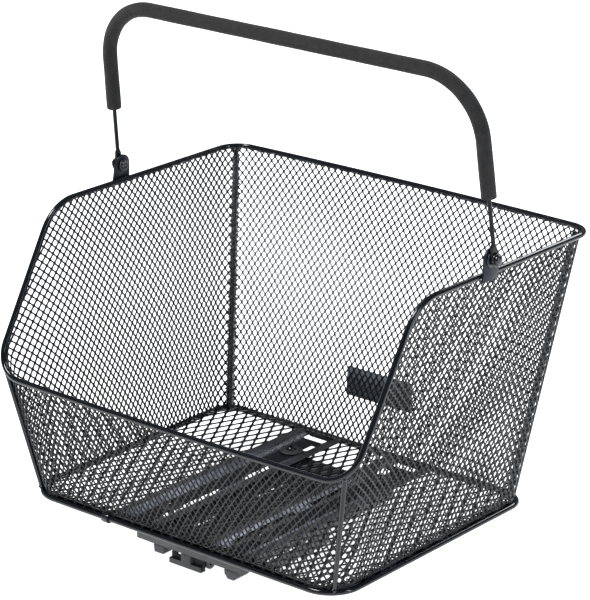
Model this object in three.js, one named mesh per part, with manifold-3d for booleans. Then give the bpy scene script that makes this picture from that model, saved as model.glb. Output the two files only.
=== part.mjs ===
// Bicycle rear-rack basket: bent-wire frame with expanded-metal mesh walls, a low front side,
// two pressed floor trays screwed to a rack adapter, and a folding bail handle with a foam grip.
// Millimetres. X runs across the basket, -Y is the low front side, +Z is up.
import * as THREE from 'three';
import { mergeVertices } from 'three/addons/utils/BufferGeometryUtils.js';
import Module from 'manifold-3d';

const wasm = await Module();
wasm.setup();

// ---------- driving dimensions ----------
const ORIGIN_Y = 18.03; // depth of the footprint centre, measured from the base ring's centre
const RING_HEIGHT = 30.5; // base ring centreline above the lowest face of the adapter

const FRAME_WIRE_R = 2.6; // rim and base ring wire
const ROD_R = 2.2; // upright corner rods
const CLEAR = 0.35; // working gap between neighbouring pieces

const BASE = { halfWidth: 180, halfDepth: 137.3, cornerR: 30, backCornerR: 23 };
const RIM = {
  height: 250.5,
  halfWidthBack: 209.7,
  back: 186.5,
  backCornerR: 23,
  halfWidthBend: 208.5,
  bendY: -67,
  bendR: 46,
  bendRise: 1.5,
  frontHeight: 112.3,
  front: -151,
  halfWidthFront: 205.5,
  frontCornerR: 31,
  bowBack: 3.5,
  bowFront: 3,
};

const MESH = { inset: 3.2, thickness: 0.6, bottom: 3.9, seam: 0.03 };
const FLOOR_MESH = { inset: 3.0, z: 2.7, thickness: 0.6 };

const TRAY = {
  centreX: 54,
  halfTop: 19,
  halfFloor: 9.9,
  flange: 7.6,
  top: 5.2,
  floor: 0.6,
  thickness: 1.0,
  front: -130,
  back: 128,
};
const TRAY_SLOTS = { near: 5.5, far: 14, ranges: [[-111, -26], [-2, 44], [93, 108]] };
const TRAY_END_SLOT = { halfWidth: 12.8, from: 117.5, to: 126.3 };
const TRAY_SCREW = { x: 53.4, y: 84 };

const ADAPTER = { halfWidth: 62, front: -119, back: 84, top: 0.2, thickness: 5.2 };
const ADAPTER_EAR = { inner: 42, outer: 62, back: 94 };
const ADAPTER_WINDOWS = [
  { x0: -58, x1: -40, y0: -102, y1: -15 },
  { x0: -58, x1: -40, y0: 8, y1: 57 },
  { x0: -19, x1: -9, y0: -102, y1: -65 },
  { x0: -19, x1: -9, y0: -15, y1: 28 },
];
const SKIRT = {
  inner: 58.8,
  outer: 61.8,
  drop: 17.5,
  jawFront: -83,
  jawOpen: -28,
  jawBack: 0,
  jawTop: -20.5,
  jawLow: -30.1,
};
const FASCIA = { front: -123, back: -119.4, bottom: -17.5, top: 0.2 };

const PIVOT = { x: 216.3, y: 28.8, z: 265.4 };
const BAIL = {
  wireR: 1.9,
  wireStart: 12.5,
  length: 161.3,
  topHalfWidth: 209.2,
  bendR: 57,
  leanDeg: 7.2,
};
const GRIP = { outerR: 6.8, boreR: 2.25, legStart: 57 };

// ---------- materials ----------
const paint = (color, roughness, metalness) => (
  new THREE.MeshStandardMaterial({ color, roughness, metalness })
);
const BLACK_WIRE = () => paint(0x16181b, 0.3, 0.6);
const BLACK_MESH = () => paint(0x1b1d20, 0.4, 0.5);
const TRAY_STEEL = () => paint(0x1a1d24, 0.45, 0.5);
const GREY_PLASTIC = () => paint(0x55575b, 0.6, 0);
const FOAM = () => paint(0x2d2c2c, 0.95, 0);
const BLACK_STEEL = () => paint(0x1d2024, 0.3, 0.7);

// ---------- placing ----------
const basket = new THREE.Group();
const body = new THREE.Group();
body.position.set(0, -ORIGIN_Y, RING_HEIGHT);
basket.add(body);

function addMesh(name, geometry, material, parent = body) {
  const mesh = new THREE.Mesh(geometry, material);
  mesh.name = name;
  parent.add(mesh);
  return mesh;
}

const vec = (x, y, z) => new THREE.Vector3(x, y, z);
const lerp = (a, b, t) => a + (b - a) * t;

// ---------- solids helpers ----------
function toManifold(geometry) {
  const bare = geometry.clone();
  bare.deleteAttribute('normal');
  bare.deleteAttribute('uv');
  const merged = mergeVertices(bare, 1e-4);
  return new wasm.Manifold(new wasm.Mesh({
    numProp: 3,
    vertProperties: new Float32Array(merged.attributes.position.array),
    triVerts: new Uint32Array(merged.index.array),
  }));
}

function fromManifold(solid) {
  const mesh = solid.getMesh();
  const geometry = new THREE.BufferGeometry();
  const corners = new Float32Array(mesh.vertProperties);
  geometry.setAttribute('position', new THREE.BufferAttribute(corners, 3));
  geometry.setIndex(new THREE.BufferAttribute(new Uint32Array(mesh.triVerts), 1));
  geometry.computeVertexNormals();
  return geometry;
}

function join(first, ...others) {
  return fromManifold(others.reduce((sum, g) => sum.add(toManifold(g)), toManifold(first)));
}

function cut(first, ...tools) {
  return fromManifold(tools.reduce((rest, g) => rest.subtract(toManifold(g)), toManifold(first)));
}

// Axis-aligned block from two opposite corners.
function block(x0, x1, y0, y1, z0, z1) {
  const geometry = new THREE.BoxGeometry(x1 - x0, y1 - y0, z1 - z0);
  return geometry.translate((x0 + x1) / 2, (y0 + y1) / 2, (z0 + z1) / 2);
}

// Round bar along X between two stations.
function barX(x0, x1, y, z, radius, sides = 20) {
  const geometry = new THREE.CylinderGeometry(radius, radius, x1 - x0, sides);
  return geometry.rotateZ(Math.PI / 2).translate((x0 + x1) / 2, y, z);
}

// Round bar along Z between two heights.
function barZ(x, y, z0, z1, radius, sides = 24) {
  const geometry = new THREE.CylinderGeometry(radius, radius, z1 - z0, sides);
  return geometry.rotateX(Math.PI / 2).translate(x, y, (z0 + z1) / 2);
}

// Outline in the YZ plane, given thickness along X.
function plateYZ(outline, x0, x1) {
  const shape = new THREE.Shape(outline.map(([y, z]) => new THREE.Vector2(y, z)));
  const geometry = new THREE.ExtrudeGeometry(shape, { depth: x1 - x0, bevelEnabled: false });
  const turn = new THREE.Matrix4().makeBasis(vec(0, 1, 0), vec(0, 0, 1), vec(1, 0, 0));
  return geometry.applyMatrix4(turn).translate(x0, 0, 0);
}

// Outline in the XZ plane, given depth along Y.
function plateXZ(outline, y0, y1) {
  const shape = new THREE.Shape(outline.map(([x, z]) => new THREE.Vector2(x, z)));
  const geometry = new THREE.ExtrudeGeometry(shape, { depth: y1 - y0, bevelEnabled: false });
  const turn = new THREE.Matrix4().makeBasis(vec(1, 0, 0), vec(0, 0, 1), vec(0, -1, 0));
  return geometry.applyMatrix4(turn).translate(0, y1, 0);
}

// A curve that runs through given points, with frames carried along it without twist.
class WireCurve extends THREE.Curve {
  constructor(points) {
    super();
    this.points = points;
  }

  getPoint(t) {
    const at = t * (this.points.length - 1);
    const i = Math.min(Math.floor(at), this.points.length - 2);
    return this.points[i].clone().lerp(this.points[i + 1], at - i);
  }

  getSpacedPoints() {
    return this.points.map((p) => p.clone());
  }

  computeFrenetFrames() {
    const last = this.points.length - 1;
    const tangents = this.points.map((p, i) => {
      const before = this.points[Math.max(i - 1, 0)];
      const after = this.points[Math.min(i + 1, last)];
      const into = p.clone().sub(before).normalize();
      const out = after.clone().sub(p).normalize();
      return into.add(out).normalize();
    });
    const start = Math.abs(tangents[0].z) < 0.9 ? vec(0, 0, 1) : vec(1, 0, 0);
    const normals = [start.cross(tangents[0]).normalize()];
    for (let i = 1; i <= last; i += 1) {
      const turn = new THREE.Quaternion().setFromUnitVectors(tangents[i - 1], tangents[i]);
      normals.push(normals[i - 1].clone().applyQuaternion(turn).normalize());
    }
    const binormals = tangents.map((t, i) => t.clone().cross(normals[i]).normalize());
    return { tangents, normals, binormals };
  }
}

function roundShape(radius, sides) {
  const points = [];
  for (let i = 0; i < sides; i += 1) {
    const angle = (2 * Math.PI * i) / sides;
    points.push(new THREE.Vector2(radius * Math.cos(angle), radius * Math.sin(angle)));
  }
  return new THREE.Shape(points);
}

function sweep(points, radius, sides, boreR = 0) {
  const shape = roundShape(radius, sides);
  if (boreR > 0) {
    shape.holes.push(roundShape(boreR, sides));
  }
  return new THREE.ExtrudeGeometry(shape, {
    steps: points.length - 1,
    extrudePath: new WireCurve(points),
    bevelEnabled: false,
  });
}

// Points of a round corner of radius r at "corner", between the legs to "from" and "to".
function cornerArc(from, corner, to, r, segments = 6) {
  const a = from.clone().sub(corner).normalize();
  const b = to.clone().sub(corner).normalize();
  const angle = a.angleTo(b);
  const middle = a.clone().add(b).normalize();
  const centre = corner.clone().addScaledVector(middle, r / Math.sin(angle / 2));
  const reach = r / Math.tan(angle / 2);
  const first = corner.clone().addScaledVector(a, reach).sub(centre);
  const last = corner.clone().addScaledVector(b, reach).sub(centre);
  const sweepAngle = first.angleTo(last);
  const points = [];
  for (let i = 0; i <= segments; i += 1) {
    const t = i / segments;
    const p = first.clone().multiplyScalar(Math.sin((1 - t) * sweepAngle));
    p.addScaledVector(last, Math.sin(t * sweepAngle)).multiplyScalar(1 / Math.sin(sweepAngle));
    points.push(p.add(centre));
  }
  return points;
}

// Points between two ends, bowed sideways like a sprung wire (ends left out).
function bowed(from, to, bow, count = 5) {
  const points = [];
  for (let i = 1; i <= count; i += 1) {
    const t = i / (count + 1);
    points.push(from.clone().lerp(to, t).addScaledVector(bow, 4 * t * (1 - t)));
  }
  return points;
}

// ---------- frame wires ----------
const ringCorner = {
  fr: vec(BASE.halfWidth, -BASE.halfDepth, 0),
  br: vec(BASE.halfWidth, BASE.halfDepth, 0),
  bl: vec(-BASE.halfWidth, BASE.halfDepth, 0),
  fl: vec(-BASE.halfWidth, -BASE.halfDepth, 0),
};
const ringArc = {
  fr: cornerArc(ringCorner.fl, ringCorner.fr, ringCorner.br, BASE.cornerR),
  br: cornerArc(ringCorner.fr, ringCorner.br, ringCorner.bl, BASE.backCornerR),
  bl: cornerArc(ringCorner.br, ringCorner.bl, ringCorner.fl, BASE.backCornerR),
  fl: cornerArc(ringCorner.bl, ringCorner.fl, ringCorner.fr, BASE.cornerR),
};

const bendZ = RIM.height + RIM.bendRise;
const rimCorner = {
  fr: vec(RIM.halfWidthFront, RIM.front, RIM.frontHeight),
  bendR: vec(RIM.halfWidthBend, RIM.bendY, bendZ),
  br: vec(RIM.halfWidthBack, RIM.back, RIM.height),
  bl: vec(-RIM.halfWidthBack, RIM.back, RIM.height),
  bendL: vec(-RIM.halfWidthBend, RIM.bendY, bendZ),
  fl: vec(-RIM.halfWidthFront, RIM.front, RIM.frontHeight),
};
const rimArc = {
  fr: cornerArc(rimCorner.fl, rimCorner.fr, rimCorner.bendR, RIM.frontCornerR),
  bendR: cornerArc(rimCorner.fr, rimCorner.bendR, rimCorner.br, RIM.bendR, 5),
  br: cornerArc(rimCorner.bendR, rimCorner.br, rimCorner.bl, RIM.backCornerR),
  bl: cornerArc(rimCorner.br, rimCorner.bl, rimCorner.bendL, RIM.backCornerR),
  bendL: cornerArc(rimCorner.bl, rimCorner.bendL, rimCorner.fl, RIM.bendR, 5),
  fl: cornerArc(rimCorner.bendL, rimCorner.fl, rimCorner.fr, RIM.frontCornerR),
};
const rimBackBow = bowed(rimArc.br.at(-1), rimArc.bl[0], vec(0, RIM.bowBack, 0));
const rimFrontBow = bowed(rimArc.fl.at(-1), rimArc.fr[0], vec(0, -RIM.bowFront, 0));

// Each loop is bent from one wire: its butt ends meet at the middle of the back.
const BUTT_GAP = 0.4;
const ringJointA = vec(-BUTT_GAP / 2, BASE.halfDepth, 0);
const ringJointB = vec(BUTT_GAP / 2, BASE.halfDepth, 0);
const ringPath = [ringJointA, ...ringArc.bl, ...ringArc.fl, ...ringArc.fr, ...ringArc.br, ringJointB];
addMesh('base_ring', sweep(ringPath, FRAME_WIRE_R, 8), BLACK_WIRE());

const backMiddle = rimBackBow[2];
const rimPath = [
  backMiddle.clone().add(vec(-BUTT_GAP / 2, 0, 0)),
  ...rimBackBow.slice(3),
  ...rimArc.bl,
  ...rimArc.bendL,
  ...rimArc.fl,
  ...rimFrontBow,
  ...rimArc.fr,
  ...rimArc.bendR,
  ...rimArc.br,
  ...rimBackBow.slice(0, 2),
  backMiddle.clone().add(vec(BUTT_GAP / 2, 0, 0)),
];
addMesh('top_rim', sweep(rimPath, FRAME_WIRE_R, 8), BLACK_WIRE());

// Upright rods stand at the middle of each rounded corner, between the base ring and the rim;
// the back pair stands inside the mesh.
const ROD_INSET_BACK = 7; // centreline of a back rod, in from the wires
function cornerRod(name, foot, head, footGap, headGap, inset = 0) {
  const inward = vec(-Math.sign(foot.x), -Math.sign(foot.y), 0).setLength(inset);
  const along = head.clone().sub(foot).normalize();
  const from = foot.clone().addScaledVector(along, footGap).add(inward);
  const to = head.clone().addScaledVector(along, -headGap).add(inward);
  addMesh(name, sweep([from, to], ROD_R, 10), BLACK_WIRE());
}
const MID = 3; // index of the middle point of a six-segment corner
cornerRod('corner_rod_front_right', ringArc.fr[MID], rimArc.fr[MID], 3.8, 5);
cornerRod('corner_rod_front_left', ringArc.fl[MID], rimArc.fl[MID], 3.8, 5);
cornerRod('corner_rod_back_right', ringArc.br[MID], rimArc.br[MID], 4.6, 1, ROD_INSET_BACK);
cornerRod('corner_rod_back_left', ringArc.bl[MID], rimArc.bl[MID], 4.6, 1, ROD_INSET_BACK);

// ---------- mesh walls ----------
// A wall is a sheet ruled between the base ring and the rim, just inside both wires.
// Each column holds its foot on the ring, its head on the rim and its inward direction.
function wallSheet(columns) {
  const face = (inset) => columns.map(({ foot, head, inward }) => {
    const start = foot.clone().lerp(head, MESH.bottom / (head.z - foot.z));
    return [start.addScaledVector(inward, inset), head.clone().addScaledVector(inward, inset)];
  });
  const positions = [];
  const quad = (a, b, c, d) => {
    for (const p of [a, b, c, a, c, d]) {
      positions.push(p.x, p.y, p.z);
    }
  };
  const outer = face(MESH.inset);
  const inner = face(MESH.inset + MESH.thickness);
  for (let i = 0; i < columns.length - 1; i += 1) {
    quad(outer[i][0], outer[i + 1][0], outer[i + 1][1], outer[i][1]);
    quad(inner[i + 1][0], inner[i][0], inner[i][1], inner[i + 1][1]);
    quad(outer[i][1], outer[i + 1][1], inner[i + 1][1], inner[i][1]);
    quad(inner[i][0], inner[i + 1][0], outer[i + 1][0], outer[i][0]);
  }
  const end = columns.length - 1;
  quad(inner[0][0], outer[0][0], outer[0][1], inner[0][1]);
  quad(outer[end][0], inner[end][0], inner[end][1], outer[end][1]);
  const geometry = new THREE.BufferGeometry();
  geometry.setAttribute('position', new THREE.Float32BufferAttribute(positions, 3));
  return mergeVertices(geometry, 1e-5);
}

// Columns over part of a corner; "turn" is the plan angle of the corner's outward start.
function cornerColumns(feet, heads, turn, fromT, toT) {
  const sample = (points, t) => {
    const at = t * (points.length - 1);
    const i = Math.min(Math.floor(at), points.length - 2);
    return points[i].clone().lerp(points[i + 1], at - i);
  };
  const steps = 3;
  return Array.from({ length: steps + 1 }, (_, i) => {
    const t = lerp(fromT, toT, i / steps);
    const angle = turn + (t * Math.PI) / 2;
    const inward = vec(-Math.cos(angle), -Math.sin(angle), 0);
    return { foot: sample(feet, t), head: sample(heads, t), inward };
  });
}

function straightColumns(footA, footB, heads, inward) {
  const spanStart = heads[0];
  const spanEnd = heads.at(-1);
  const span = spanEnd.clone().sub(spanStart);
  span.z = 0;
  return heads.slice(1, -1).map((head) => {
    const t = head.clone().sub(spanStart).dot(span) / span.lengthSq();
    return { foot: footA.clone().lerp(footB, t), head, inward };
  });
}

const quarter = Math.PI / 2;
const half = 0.5;
const [s0, s1] = [half + MESH.seam, half - MESH.seam];
const turns = { fr: -quarter, br: 0, bl: quarter, fl: Math.PI };

const frontWall = [
  ...cornerColumns(ringArc.fl, rimArc.fl, turns.fl, s0, 1),
  ...straightColumns(
    ringArc.fl.at(-1),
    ringArc.fr[0],
    [rimArc.fl.at(-1), ...rimFrontBow, rimArc.fr[0]],
    vec(0, 1, 0),
  ),
  ...cornerColumns(ringArc.fr, rimArc.fr, turns.fr, 0, s1),
];
const rightWall = [
  ...cornerColumns(ringArc.fr, rimArc.fr, turns.fr, s0, 1),
  ...straightColumns(
    ringArc.fr.at(-1),
    ringArc.br[0],
    [rimArc.fr.at(-1), ...rimArc.bendR, rimArc.br[0]],
    vec(-1, 0, 0),
  ),
  ...cornerColumns(ringArc.br, rimArc.br, turns.br, 0, s1),
];
const backWall = [
  ...cornerColumns(ringArc.br, rimArc.br, turns.br, s0, 1),
  ...straightColumns(
    ringArc.br.at(-1),
    ringArc.bl[0],
    [rimArc.br.at(-1), ...rimBackBow, rimArc.bl[0]],
    vec(0, -1, 0),
  ),
  ...cornerColumns(ringArc.bl, rimArc.bl, turns.bl, 0, s1),
];
const leftWall = [
  ...cornerColumns(ringArc.bl, rimArc.bl, turns.bl, s0, 1),
  ...straightColumns(
    ringArc.bl.at(-1),
    ringArc.fl[0],
    [rimArc.bl.at(-1), ...rimArc.bendL, rimArc.fl[0]],
    vec(1, 0, 0),
  ),
  ...cornerColumns(ringArc.fl, rimArc.fl, turns.fl, 0, s1),
];
addMesh('mesh_wall_front', wallSheet(frontWall), BLACK_MESH());
addMesh('mesh_wall_right', wallSheet(rightWall), BLACK_MESH());
addMesh('mesh_wall_back', wallSheet(backWall), BLACK_MESH());
addMesh('mesh_wall_left', wallSheet(leftWall), BLACK_MESH());

// ---------- mesh floor with two tray openings ----------
function roundedRectangle(halfX, halfY, r, Type = THREE.Shape) {
  const shape = new Type();
  shape.moveTo(-halfX + r, -halfY);
  shape.lineTo(halfX - r, -halfY);
  shape.absarc(halfX - r, -halfY + r, r, -quarter, 0, false);
  shape.lineTo(halfX, halfY - r);
  shape.absarc(halfX - r, halfY - r, r, 0, quarter, false);
  shape.lineTo(-halfX + r, halfY);
  shape.absarc(-halfX + r, halfY - r, r, quarter, Math.PI, false);
  shape.lineTo(-halfX, -halfY + r);
  shape.absarc(-halfX + r, -halfY + r, r, Math.PI, 3 * quarter, false);
  return shape;
}

const floorOutline = roundedRectangle(
  BASE.halfWidth - FLOOR_MESH.inset,
  BASE.halfDepth - FLOOR_MESH.inset,
  BASE.cornerR - FLOOR_MESH.inset,
);
const floorSheet = new THREE.ExtrudeGeometry(floorOutline, {
  depth: FLOOR_MESH.thickness,
  bevelEnabled: false,
  curveSegments: 6,
}).translate(0, 0, FLOOR_MESH.z);
const trayWindow = (side) => block(
  side * TRAY.centreX - TRAY.halfTop - 1.2,
  side * TRAY.centreX + TRAY.halfTop + 1.2,
  TRAY.front - 1.5,
  TRAY.back + 1.5,
  0,
  6,
);
addMesh('mesh_floor', cut(floorSheet, trayWindow(-1), trayWindow(1)), BLACK_MESH());

// ---------- pressed floor trays ----------
function trayGeometry(cx) {
  const { halfTop, halfFloor, flange, top, floor, thickness, front, back } = TRAY;
  const under = top - thickness;
  const outline = [
    [cx - halfTop - flange, under],
    [cx - halfTop, under],
    [cx - halfFloor - thickness / 2, floor],
    [cx + halfFloor + thickness / 2, floor],
    [cx + halfTop, under],
    [cx + halfTop + flange, under],
    [cx + halfTop + flange, top],
    [cx + halfTop - thickness / 2, top],
    [cx + halfFloor, floor + thickness],
    [cx - halfFloor, floor + thickness],
    [cx - halfTop + thickness / 2, top],
    [cx - halfTop - flange, top],
  ];
  const channel = plateXZ(outline, front, back);
  const wallBlank = [
    [cx - halfTop, under],
    [cx - halfFloor - thickness / 2, floor],
    [cx + halfFloor + thickness / 2, floor],
    [cx + halfTop, under],
    [cx + halfTop, top],
    [cx - halfTop, top],
  ];
  const endFront = plateXZ(wallBlank, front, front + thickness);
  const endBack = plateXZ(wallBlank, back - thickness, back);
  const toMiddle = -Math.sign(cx);
  const slots = TRAY_SLOTS.ranges.map(([y0, y1]) => {
    const near = cx + toMiddle * TRAY_SLOTS.near;
    const far = cx + toMiddle * TRAY_SLOTS.far;
    return block(Math.min(near, far), Math.max(near, far), y0, y1, -1, 4);
  });
  const { halfWidth, from, to } = TRAY_END_SLOT;
  slots.push(block(cx - halfWidth, cx + halfWidth, from, to, -1, 4));
  const screwX = Math.sign(cx) * TRAY_SCREW.x;
  const screwHoles = [-1, 1].map((side) => barZ(screwX, side * TRAY_SCREW.y, -1, 3, 2.9, 16));
  return cut(join(channel, endFront, endBack), ...slots, ...screwHoles);
}
addMesh('floor_tray_left', trayGeometry(-TRAY.centreX), TRAY_STEEL());
addMesh('floor_tray_right', trayGeometry(TRAY.centreX), TRAY_STEEL());

// ---------- rack adapter ----------
const adapterBottom = ADAPTER.top - ADAPTER.thickness;
const adapterBlank = join(
  block(-ADAPTER.halfWidth, ADAPTER.halfWidth, ADAPTER.front, ADAPTER.back, adapterBottom, ADAPTER.top),
  block(-ADAPTER_EAR.outer, -ADAPTER_EAR.inner, 60, ADAPTER_EAR.back, adapterBottom, ADAPTER.top),
  block(ADAPTER_EAR.inner, ADAPTER_EAR.outer, 60, ADAPTER_EAR.back, adapterBottom, ADAPTER.top),
);
const windows = ADAPTER_WINDOWS.map(({ x0, x1, y0, y1 }) => (
  block(x0, x1, y0, y1, adapterBottom - 1, ADAPTER.top + 1)
));
const screwSpots = [
  [-TRAY_SCREW.x, TRAY_SCREW.y],
  [TRAY_SCREW.x, TRAY_SCREW.y],
  [-TRAY_SCREW.x, -TRAY_SCREW.y],
  [TRAY_SCREW.x, -TRAY_SCREW.y],
];
const adapterScrewHoles = screwSpots.map(([x, y]) => (
  barZ(x, y, adapterBottom - 1, ADAPTER.top + 1, 2.9, 16)
));
addMesh('adapter_plate', cut(adapterBlank, ...windows, ...adapterScrewHoles), GREY_PLASTIC());

addMesh(
  'adapter_fascia',
  block(-60.5, 62.5, FASCIA.front, FASCIA.back, FASCIA.bottom, FASCIA.top),
  GREY_PLASTIC(),
);

// Downward blocks that straddle the rack rails; their lower edges are chamfered.
function adapterFoot(name, x0, x1, y0, y1, bottom, chamfer) {
  const top = FASCIA.bottom - CLEAR;
  const outline = [
    [x0, top],
    [x0 + 0.6, bottom + chamfer],
    [x0 + chamfer, bottom],
    [x1 - chamfer, bottom],
    [x1, bottom + chamfer],
    [x1, top],
  ];
  addMesh(name, plateXZ(outline, y0, y1), GREY_PLASTIC());
}
adapterFoot('adapter_foot_left', -40.5, -28, -122.6, -108, -25.2, 1.2);
adapterFoot('adapter_foot_right', 42.5, 57.5, -122.6, -104, -26.4, 4);

// T-shaped hook that drops into the rack's front slot.
const T_HOOK = {
  left: -22,
  right: 15.5,
  stemLeft: -8,
  stemRight: 3,
  bottom: -30.5,
  barTop: -25.6,
  y0: -122.6,
  y1: -116.4,
};
const hookTop = FASCIA.bottom - CLEAR;
const tProfile = plateXZ([
  [T_HOOK.left, T_HOOK.bottom],
  [T_HOOK.right, T_HOOK.bottom],
  [T_HOOK.right, T_HOOK.barTop],
  [T_HOOK.stemRight, T_HOOK.barTop],
  [T_HOOK.stemRight, hookTop],
  [T_HOOK.stemLeft, hookTop],
  [T_HOOK.stemLeft, T_HOOK.barTop],
  [T_HOOK.left, T_HOOK.barTop],
], T_HOOK.y0, T_HOOK.y1);
const hookLugs = [
  block(T_HOOK.left, T_HOOK.left + 6, T_HOOK.y1 - 2.5, T_HOOK.y1, T_HOOK.barTop - 1, -20.5),
  block(T_HOOK.left + 5, T_HOOK.stemLeft + 1, T_HOOK.y1 - 2.5, T_HOOK.y1, T_HOOK.barTop - 1, -22.5),
  block(T_HOOK.stemRight - 1, T_HOOK.right, T_HOOK.y1 - 2.5, T_HOOK.y1, T_HOOK.barTop - 1, -18.4),
];
addMesh('adapter_t_hook', join(tProfile, ...hookLugs), GREY_PLASTIC());

// Curled latch claw behind the right end of the hook.
const CLAW = { x0: 5.5, x1: 16.5, y: -109.4, z: -23.8, outer: 6.6, inner: 2.8, root: -17.9 };
const clawOutline = [[CLAW.y + CLAW.inner, CLAW.root], [CLAW.y + CLAW.outer, CLAW.root]];
for (let i = 0; i <= 8; i += 1) {
  const angle = (-1.15 * Math.PI * i) / 8;
  clawOutline.push([CLAW.y + CLAW.outer * Math.cos(angle), CLAW.z + CLAW.outer * Math.sin(angle)]);
}
for (let i = 8; i >= 0; i -= 1) {
  const angle = (-1.15 * Math.PI * i) / 8;
  clawOutline.push([CLAW.y + CLAW.inner * Math.cos(angle), CLAW.z + CLAW.inner * Math.sin(angle)]);
}
addMesh('adapter_claw', plateYZ(clawOutline.reverse(), CLAW.x0, CLAW.x1), BLACK_STEEL());

// Side skirts of the adapter, each with an open jaw that slides on to a rack rail.
const skirtTop = adapterBottom - CLEAR;
const skirtLow = ADAPTER.top - SKIRT.drop;
const skirtOutline = [
  [ADAPTER.front, skirtLow],
  [SKIRT.jawOpen, skirtLow],
  [SKIRT.jawOpen, SKIRT.jawTop],
  [SKIRT.jawFront, SKIRT.jawTop],
  [SKIRT.jawFront, SKIRT.jawLow],
  [SKIRT.jawBack, SKIRT.jawLow],
  [SKIRT.jawBack, skirtLow],
  [ADAPTER_EAR.back, skirtLow],
  [ADAPTER_EAR.back, skirtTop],
  [ADAPTER.front, skirtTop],
];
addMesh('adapter_skirt_right', plateYZ(skirtOutline, SKIRT.inner, SKIRT.outer), GREY_PLASTIC());
const skirtWindow = block(-SKIRT.outer - 1, -SKIRT.inner + 1, -100, 72, -11.4, -6.2);
const leftSkirt = cut(plateYZ(skirtOutline, -SKIRT.outer, -SKIRT.inner), skirtWindow);
addMesh('adapter_skirt_left', leftSkirt, GREY_PLASTIC());

const REAR = { halfWidth: 30, y0: 48, y1: 76, bottom: -30.5, chamfer: 3 };
addMesh('adapter_rear_hook', plateXZ([
  [-REAR.halfWidth, adapterBottom - CLEAR],
  [-REAR.halfWidth, REAR.bottom + REAR.chamfer],
  [-REAR.halfWidth + REAR.chamfer, REAR.bottom],
  [REAR.halfWidth - REAR.chamfer, REAR.bottom],
  [REAR.halfWidth, REAR.bottom + REAR.chamfer],
  [REAR.halfWidth, adapterBottom - CLEAR],
], REAR.y0, REAR.y1), GREY_PLASTIC());

// Washers and button-head screws clamp the trays to the adapter.
const WASHER = { r: 10.4, hole: 2.9, z0: 2.35, z1: 3.4 };
const SCREW = { shankR: 2.5, headR: 4.8, headZ0: 3.75, headZ1: 6.3, tip: -4.6 };
const screwNames = ['left_back', 'right_back', 'left_front', 'right_front'];
screwSpots.forEach(([x, y], i) => {
  const washer = cut(
    barZ(x, y, WASHER.z0, WASHER.z1, WASHER.r, 28),
    barZ(x, y, WASHER.z0 - 1, WASHER.z1 + 1, WASHER.hole, 16),
  );
  addMesh(`tray_washer_${screwNames[i]}`, washer, BLACK_STEEL());
  const profile = [
    [0, SCREW.tip],
    [SCREW.shankR, SCREW.tip],
    [SCREW.shankR, SCREW.headZ0],
    [SCREW.headR, SCREW.headZ0],
    [SCREW.headR, SCREW.headZ0 + 1.1],
    [SCREW.headR * 0.72, SCREW.headZ1],
    [2.1, SCREW.headZ1],
    [2.1, SCREW.headZ1 - 1.6],
    [0, SCREW.headZ1 - 1.6],
  ].map(([r, z]) => new THREE.Vector2(r, z));
  const screw = new THREE.LatheGeometry(profile, 14).rotateX(quarter).translate(x, y, 0);
  addMesh(`tray_screw_${screwNames[i]}`, screw, BLACK_STEEL());
});

// ---------- small J clip around the front of the base ring ----------
const CLIP = { x: 83, halfWidth: 3.5, inner: FRAME_WIRE_R + CLEAR, outer: FRAME_WIRE_R + 1.8, tail: 8 };
function ringClip(name, x) {
  const outline = [];
  const turnSteps = 8;
  for (let i = 0; i <= turnSteps; i += 1) {
    const angle = Math.PI / 2 + (Math.PI * i) / turnSteps;
    outline.push([CLIP.outer * Math.cos(angle), CLIP.outer * Math.sin(angle)]);
  }
  outline.push([CLIP.tail, -CLIP.outer], [CLIP.tail, -CLIP.inner]);
  for (let i = turnSteps; i >= 0; i -= 1) {
    const angle = Math.PI / 2 + (Math.PI * i) / turnSteps;
    outline.push([CLIP.inner * Math.cos(angle), CLIP.inner * Math.sin(angle)]);
  }
  const placed = outline.map(([y, z]) => [y - BASE.halfDepth, z]);
  addMesh(name, plateYZ(placed, x - CLIP.halfWidth, x + CLIP.halfWidth), BLACK_STEEL());
}
ringClip('ring_clip', -CLIP.x);

// ---------- light bracket behind the back wall ----------
const LIGHT_PLATE = {
  halfWidth: 38.5,
  height: 58.2,
  halfHeight: 14.1,
  thickness: 1.8,
  gap: 1.2,
  leanDeg: 5.5,
};
const wallLean = Math.atan((RIM.back - BASE.halfDepth) / RIM.height);
const plateLean = THREE.MathUtils.degToRad(LIGHT_PLATE.leanDeg);
const lightPlate = roundedRectangle(LIGHT_PLATE.halfWidth, LIGHT_PLATE.halfHeight, 2);
const lightGeometry = new THREE.ExtrudeGeometry(lightPlate, {
  depth: LIGHT_PLATE.thickness,
  bevelEnabled: false,
  curveSegments: 5,
});
const plateTop = LIGHT_PLATE.height + LIGHT_PLATE.halfHeight;
const wallAtTop = BASE.halfDepth + plateTop * Math.tan(wallLean) - MESH.inset;
const plateFace = wallAtTop - LIGHT_PLATE.halfHeight * Math.tan(plateLean) + LIGHT_PLATE.gap;
lightGeometry.rotateX(quarter - plateLean);
lightGeometry.translate(0, plateFace + LIGHT_PLATE.thickness / Math.cos(plateLean), LIGHT_PLATE.height);
addMesh('light_bracket', lightGeometry, BLACK_STEEL());

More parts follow.
